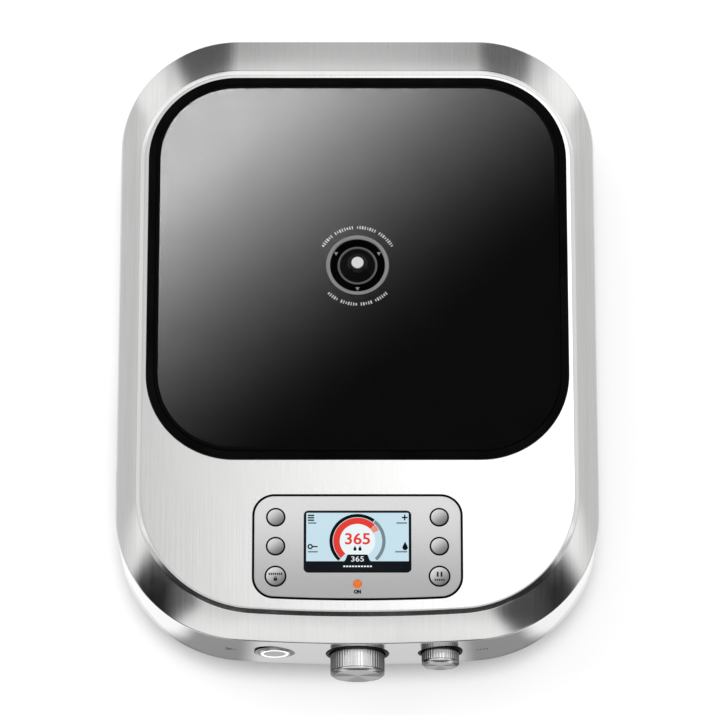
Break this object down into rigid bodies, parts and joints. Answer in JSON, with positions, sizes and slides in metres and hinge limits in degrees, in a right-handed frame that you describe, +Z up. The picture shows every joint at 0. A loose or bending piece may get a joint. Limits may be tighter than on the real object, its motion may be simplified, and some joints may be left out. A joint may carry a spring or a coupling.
{
  "type": "portable induction cooktop with pan sensor",
  "caption": "Counter-top induction cooktop with a glass plate, a sprung pan sensor, a display panel with keys, two dials and a power button.",
  "frame": {"origin": "on the counter, at the middle of the footprint", "axes": "+X to the right seen from the controls, +Y to the back, +Z up; the controls face -Y"},
  "size_m": [0.3504, 0.484, 0.114],
  "materials": {
    "brushed_steel": "brushed front to back",
    "spun_steel": "spun, with a fluted rim",
    "polished_steel": "polished",
    "zinc_plated_steel": "zinc plated",
    "black_glass": "gloss black glass-ceramic",
    "silicone": "matt black silicone",
    "black_plastic": "fine matt",
    "panel_silver": "satin silver",
    "key_silver": "satin silver",
    "display_lens": "clear lens over a lit screen",
    "display": "back-lit screen",
    "amber": "translucent amber",
    "light_ring": "frosted, lit from behind",
    "copper": "enamelled copper wire",
    "mica": "moulded insulation",
    "ferrite": "fired",
    "circuit_board": "solder mask",
    "aluminium": "extruded",
    "component_case": "moulded",
    "rubber": "matt",
    "filter": "fine mesh in a frame"
  },
  "bodies": {
    "cooktop": {"housing": "brushed_steel", "sensor_ring": "spun_steel", "power_bezel": "spun_steel", "probe_jack": "spun_steel", "sensor_spring": "polished_steel", "temperature_encoder": "zinc_plated_steel", "timer_encoder": "zinc_plated_steel", "service_port": "zinc_plated_steel", "base_screw_front_left": "zinc_plated_steel", "base_screw_front_right": "zinc_plated_steel", "base_screw_rear_left": "zinc_plated_steel", "base_screw_rear_right": "zinc_plated_steel", "glass_top": "black_glass", "glass_seal": "silicone", "sensor_bellows": "silicone", "panel_gasket": "silicone", "sensor_guide": "black_plastic", "temperature_collar": "black_plastic", "timer_collar": "black_plastic", "power_switch": "black_plastic", "cord_gland": "black_plastic", "gland_nut": "black_plastic", "fan_frame": "black_plastic", "base_pan": "black_plastic", "control_panel": "panel_silver", "display_lens": "display_lens", "display_module": "display", "status_lamp": "amber", "induction_coil": "copper", "line_choke": "copper", "coil_carrier": "mica", "ferrite_star": "ferrite", "control_board": "circuit_board", "power_board": "circuit_board", "heatsink": "aluminium", "power_transistor": "component_case", "filter_capacitor": "component_case", "foot_front_left": "rubber", "foot_front_right": "rubber", "foot_rear_left": "rubber", "foot_rear_right": "rubber"},
    "sensor_plunger": {"sensor_plunger": "black_plastic", "sensor_tip": "polished_steel"},
    "temperature_rotor": {"temperature_rotor": "black_plastic"},
    "temperature_dial": {"temperature_knob": "spun_steel", "temperature_shaft": "aluminium"},
    "timer_rotor": {"timer_rotor": "black_plastic"},
    "timer_dial": {"timer_knob": "spun_steel", "timer_shaft": "aluminium"},
    "power_button": {"power_button": "spun_steel", "power_light_ring": "light_ring"},
    "fan_rotor": {"fan_rotor": "black_plastic"},
    "air_filter": {"air_filter": "filter"},
    "port_cover": {"port_cover": "rubber"},
    "menu_key": {"menu_key": "key_silver"},
    "probe_key": {"probe_key": "key_silver"},
    "settings_key": {"settings_key": "key_silver"},
    "units_key": {"units_key": "key_silver"},
    "intensity_key": {"intensity_key": "key_silver"},
    "pause_key": {"pause_key": "key_silver"}
  },
  "joints": [
    {"name": "sensor_press", "type": "slide", "parent": "cooktop", "child": "sensor_plunger", "axis": [0, 0, -1], "range_m": [0, 0.0055], "stiffness_N_per_m": 400, "springref_m": -0.004, "deforming": ["sensor_spring"]},
    {"name": "menu_key_press", "type": "slide", "parent": "cooktop", "child": "menu_key", "axis": [0, 0, -1], "range_m": [0, 0.0008], "stiffness_N_per_m": 1500, "springref_m": -0.0006},
    {"name": "probe_key_press", "type": "slide", "parent": "cooktop", "child": "probe_key", "axis": [0, 0, -1], "range_m": [0, 0.0008], "stiffness_N_per_m": 1500, "springref_m": -0.0006},
    {"name": "settings_key_press", "type": "slide", "parent": "cooktop", "child": "settings_key", "axis": [0, 0, -1], "range_m": [0, 0.0008], "stiffness_N_per_m": 1500, "springref_m": -0.0006},
    {"name": "units_key_press", "type": "slide", "parent": "cooktop", "child": "units_key", "axis": [0, 0, -1], "range_m": [0, 0.0008], "stiffness_N_per_m": 1500, "springref_m": -0.0006},
    {"name": "intensity_key_press", "type": "slide", "parent": "cooktop", "child": "intensity_key", "axis": [0, 0, -1], "range_m": [0, 0.0008], "stiffness_N_per_m": 1500, "springref_m": -0.0006},
    {"name": "pause_key_press", "type": "slide", "parent": "cooktop", "child": "pause_key", "axis": [0, 0, -1], "range_m": [0, 0.0008], "stiffness_N_per_m": 1500, "springref_m": -0.0006},
    {"name": "power_button_press", "type": "slide", "parent": "cooktop", "child": "power_button", "axis": [0, 1, 0], "range_m": [0, 0.001], "stiffness_N_per_m": 1500, "springref_m": -0.0008},
    {"name": "temperature_turn", "type": "hinge", "parent": "cooktop", "child": "temperature_rotor", "pos_m": [0, -0.2255, 0.061], "axis": [0, -1, 0], "continuous": true},
    {"name": "temperature_press", "type": "slide", "parent": "temperature_rotor", "child": "temperature_dial", "axis": [0, 1, 0], "range_m": [0, 0.0008], "stiffness_N_per_m": 2000, "springref_m": -0.001},
    {"name": "timer_turn", "type": "hinge", "parent": "cooktop", "child": "timer_rotor", "pos_m": [0.0595, -0.22408, 0.061], "axis": [0, -1, 0], "continuous": true},
    {"name": "timer_press", "type": "slide", "parent": "timer_rotor", "child": "timer_dial", "axis": [0, 1, 0], "range_m": [0, 0.0008], "stiffness_N_per_m": 2000, "springref_m": -0.001},
    {"name": "fan_spin", "type": "hinge", "parent": "cooktop", "child": "fan_rotor", "pos_m": [-0.096, -0.0645, 0.03], "axis": [0, 0, 1], "continuous": true},
    {"name": "air_filter_slide", "type": "slide", "parent": "cooktop", "child": "air_filter", "axis": [-1, 0, 0], "range_m": [0, 0.1]},
    {"name": "port_cover_swing", "type": "hinge", "parent": "cooktop", "child": "port_cover", "pos_m": [-0.1743, -0.089, 0.061], "axis": [0, 0, -1], "range_deg": [0, 95]}
  ]
}
